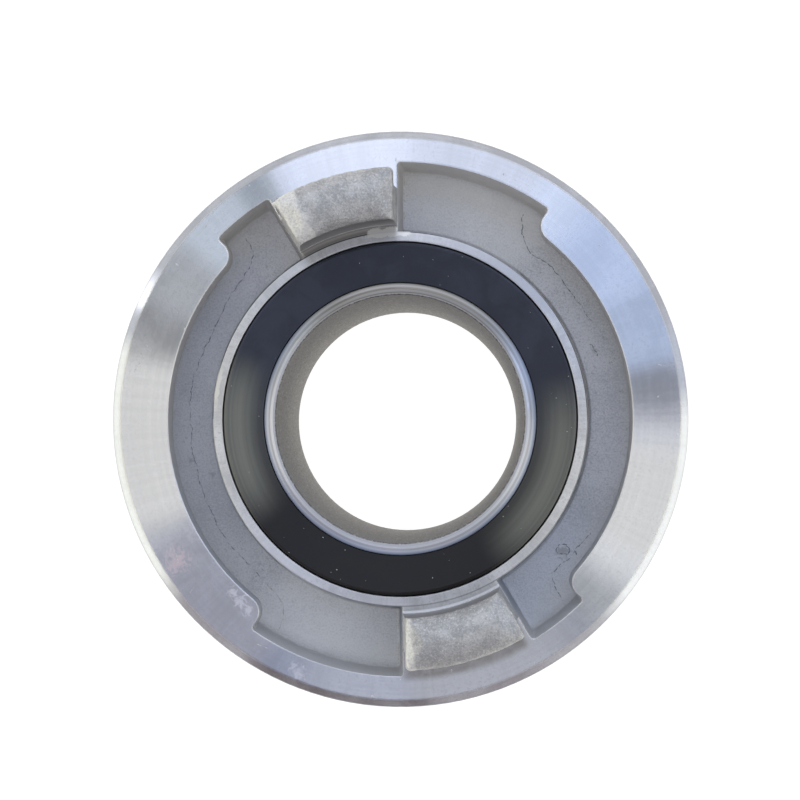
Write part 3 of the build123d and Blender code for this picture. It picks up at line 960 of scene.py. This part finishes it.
# %% Line rule
LINE_RULE = dict(
    Width=0.1, Wobble=0.3, Wobble_size=2.0, Seed=3, Surface=cast_ring, Finish=seam_dark
)
STEP, DROP_HEIGHT, DROP_LENGTH = 0.2 * MM, 95 * MM, 60 * MM

line_rule, given, result = geometry_tree("line_rule", **LINE_RULE)
tree = line_rule
path = add(tree, "GeometryNodeMeshToCurve", {0: given.outputs["Geometry"]}).outputs[0]
even = add(tree, "GeometryNodeResampleCurve", {"Curve": path, "Length": STEP}, mode="LENGTH")
place = scaled(tree, add(tree, "GeometryNodeInputPosition").outputs[0], 1.0 / MM)
bend = seeded_noise(tree, place, given, "Wobble size", 3.0)[1]
centred = vectors(tree, "SUBTRACT", bend, (0.5, 0.5, 0.5))
push = scaled(tree, centred, product(tree, given.outputs["Wobble"], 2.0 * MM))
bent = add(tree, "GeometryNodeSetPosition", {"Geometry": even.outputs[0], "Offset": push})
inputs = {"Object": given.outputs["Surface"]}
ground = add(tree, "GeometryNodeObjectInfo", inputs, transform_space="ORIGINAL")
inputs = {"Target Geometry": ground.outputs["Geometry"], "Ray Direction": (0, 0, -1)}
drop = add(tree, "GeometryNodeRaycast", {**inputs, "Ray Length": DROP_LENGTH}).outputs
inputs = {"Selection": drop["Is Hit"], "Position": drop["Hit Position"]}
laid = add(tree, "GeometryNodeSetPosition", {"Geometry": bent.outputs[0], **inputs})
swell = add(tree, "ShaderNodeTexNoise", {"Vector": place, "Scale": 1.4, "Detail": 2.0})
swell = between(tree, swell.outputs[0], 0.38, 0.62, 0.02, 1.0)
uneven = product(tree, given.outputs["Width"], MM, swell)
thick = add(tree, "GeometryNodeSetCurveRadius", {"Curve": laid.outputs[0], "Radius": uneven})
ring = add(tree, "GeometryNodeCurvePrimitiveCircle", {"Resolution": 6, "Radius": 1.0})
inputs = {"Curve": thick.outputs[0], "Profile Curve": ring.outputs[0], "Fill Caps": True}
tube = add(tree, "GeometryNodeCurveToMesh", inputs)
if "Scale" in tube.inputs:
    tree.links.new(add(tree, "GeometryNodeInputRadius").outputs[0], tube.inputs["Scale"])
tree.links.new(realized(tree, tube.outputs[0], given.outputs["Finish"]), result.inputs[0])
print("nodes in the line rule:", len(tree.nodes))


# %% From paths to lines
def above_ring(radius, angle):
    """Return a place over the ring, from where a line is dropped onto it."""
    turn = radians(angle)
    return radius * cos(turn) * MM, radius * sin(turn) * MM, DROP_HEIGHT


def lines(name, paths, **givens):
    """Grow a piece of thin lines on the ring from lists of (radius, angle) pairs."""
    mesh = bmesh.new()
    for path in paths:
        points = [mesh.verts.new(above_ring(*pair)) for pair in path]
        for pair in zip(points, points[1:]):
            mesh.edges.new(pair)
    thing = bpy.data.objects.new(name, bpy.data.meshes.new(name))
    mesh.to_mesh(thing.data)
    mesh.free()
    thing = grow(thing, line_rule, **{**LINE_RULE, **givens})
    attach(thing, "ring")


# %% Parting line
PARTING = [
    (42.3, 130.5), (40.4, 131.0), (38.4, 132.0), (37.1, 135.8), (36.9, 143.0),
    (36.3, 149.3), (36.4, 160.4), (36.9, 168.8), (36.9, 175.6), (36.8, 188.0),
    (36.9, 202.3), (36.9, 209.8), (37.0, 216.5), (36.7, 222.9), (36.9, 228.3),
]
FAR_SIDE = [(41.5, 59.4), (38.4, 56.9), (36.6, 52.3), (37.2, 45.1), (36.9, 32.2), (37.1, 27.0)]
LOW_SIDE = [
    (42.3, -48.5), (39.9, -47.8), (37.3, -45.6), (37.4, -42.0), (37.7, -39.5), (38.2, -31.0)
]
UP_WALL = [(36.9, 229.0), (37.2, 233.8), (38.3, 237.8), (40.2, 239.2), (42.3, 239.8)]

seam_lines = (PARTING, FAR_SIDE, LOW_SIDE)
lines("parting_line", seam_lines, Width=0.09, Wobble=0.55, Wobble_size=1.5)
burr = dict(Wobble=0.3, Wobble_size=1.8, Seed=6, Finish=burr_pale)
lines("seam_burr", (UP_WALL,), Width=0.11, **burr)

# %% Cold shuts, burrs and flash
CREASES = (
    [(35.2, 22.0), (35.8, 20.0), (35.6, 18.0)],
    [(37.6, -36.8), (38.4, -37.6)],
    [
        (35.1, -38.4), (35.9, -37.0), (36.9, -37.6), (37.2, -39.2),
        (36.0, -40.6), (35.3, -40.0), (35.1, -38.4),
    ],
)
LUG_FEET = (
    [(33.0, 89.2), (42.8, 89.4)],
    [(33.4, 120.5), (42.0, 121.5)],
    [(33.0, -90.8), (42.4, -90.7)],
    [(33.4, -59.9), (42.1, -60.2)],
)
FLASH = [(42.9, 119.9), (41.2, 120.2), (39.3, 120.5)]

lines("cold_shuts", CREASES, Width=0.10, Wobble=0.8, Wobble_size=1.1, Seed=5)
burr = dict(Wobble=0.14, Wobble_size=1.5, Seed=8, Finish=burr_pale)
lines("foot_burrs", LUG_FEET, Width=0.12, **burr)
flash = dict(Wobble=0.25, Wobble_size=1.5, Seed=2, Finish=lug_skin)
lines("lug_flash", (FLASH,), Width=0.48, **flash)

# %% Scratches
SCRATCHES = (
    [(47.7, 130.8), (47.0, 133.5), (46.3, 136.1)],
    [(46.8, 41.0), (47.0, 42.2)],
    [(44.6, 12.0), (46.2, 11.0)],
    [(43.3, -38.9), (43.9, -38.6)],
    [(44.6, -39.1), (45.2, -38.9)],
    [(47.0, -61.0), (47.5, -61.3)],
    [(46.9, -62.0), (47.4, -62.2)],
    [(45.0, -120.0), (45.3, -122.5)],
    [(45.2, -141.0), (46.9, -140.0)],
    [(46.0, 170.0), (45.2, 167.5)],
    [(44.4, -150.0), (44.9, -147.0)],
)
scratch = dict(Wobble=0.15, Wobble_size=1.2, Seed=11, Finish=burr_pale)
lines("scratches", SCRATCHES, Width=0.05, **scratch)

# %% [markdown]
# ## Nicks and dust
#
# Small chips lie on the rim and dust on the seal. Both are scattered: points are
# spread on the faces that look up, a tiny rounded grain stands on each, and a
# random size and turn keeps them from looking stamped. Placing forty grains by
# hand would take longer and look more regular.

# %% Scatter rule
PER_SQUARE_MM = 1e6

dust_pale = plain_finish("dust_pale", (0.48, 0.47, 0.44, 1), (0.86, 0.85, 0.82, 1), 0.0, 0.8)
SCATTER = dict(
    Density=0.02, Size=0.1, Flatness=0.4, Least_radius=20.0, Least_height=70.0, Seed=4,
    Finish=dust_pale,
)


def random_value(tree, low, high, seed):
    """Draw one number for each grain between two limits."""
    inputs = {2: low, 3: high, "Seed": seed}
    return add(tree, "FunctionNodeRandomValue", inputs, data_type="FLOAT").outputs[1]


scatter_rule, given, result = geometry_tree("scatter_rule", **SCATTER)
tree = scatter_rule
place = add(tree, "GeometryNodeInputPosition").outputs[0]
outward = vectors(tree, "LENGTH", vectors(tree, "MULTIPLY", place, (1, 1, 0)))
least_radius, least_height, grain_size = (
    product(tree, given.outputs[label], MM) for label in ("Least radius", "Least height", "Size")
)
far = maths(tree, "GREATER_THAN", outward, least_radius)
high = maths(tree, "GREATER_THAN", part_of(tree, place, 2), least_height)
facing = part_of(tree, add(tree, "GeometryNodeInputNormal").outputs[0], 2)
chosen = product(tree, far, high, maths(tree, "GREATER_THAN", facing, 0.9))
density = product(tree, given.outputs["Density"], PER_SQUARE_MM, chosen)
inputs = {"Mesh": given.outputs["Geometry"], "Density": density, "Seed": given.outputs["Seed"]}
spread = add(tree, "GeometryNodeDistributePointsOnFaces", inputs)
grain = add(tree, "GeometryNodeMeshIcoSphere", {"Radius": grain_size, "Subdivisions": 2})
size = random_value(tree, 0.4, 1.6, given.outputs["Seed"])
length = product(tree, size, random_value(tree, 0.8, 2.2, 2))
flat = product(tree, size, given.outputs["Flatness"])
shape = add(tree, "ShaderNodeCombineXYZ", {0: length, 1: size, 2: flat})
turn = add(tree, "ShaderNodeCombineXYZ", {2: random_value(tree, 0.0, 2 * pi, 5)})
inputs = {"Points": spread.outputs[0], "Instance": grain.outputs[0]}
inputs.update({"Rotation": turn.outputs[0], "Scale": shape.outputs[0]})
grains = add(tree, "GeometryNodeInstanceOnPoints", inputs)
tree.links.new(realized(tree, grains.outputs[0], given.outputs["Finish"]), result.inputs[0])
print("nodes in the scatter rule:", len(tree.nodes))


# %% Scatter nicks and dust
def scatter(name, source, body, slot, **givens):
    """Grow a piece of scattered grains on a copy of another piece's mesh."""
    thing = bpy.data.objects.new(name, source.data.copy())
    thing = grow(thing, scatter_rule, **{**SCATTER, **givens})
    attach(thing, body)


nicks = dict(Density=0.020, Size=0.09, Flatness=0.25, Finish=burr_pale)
nicks.update(Least_radius=43.0, Least_height=76.5)
scatter("rim_nicks", cast_ring, "ring", "cast_ring", **nicks)
dust = dict(Density=0.035, Size=0.045, Least_height=75.0, Seed=9)
scatter("seal_dust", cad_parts["face_seal"], "tail", "seal_rubber", **dust)

# %% [markdown]
# ## Last cell
#
# The last cell sets the view transform to Standard.

# %% Set the view transform
scene = bpy.context.scene
scene.view_settings.view_transform = "Standard"
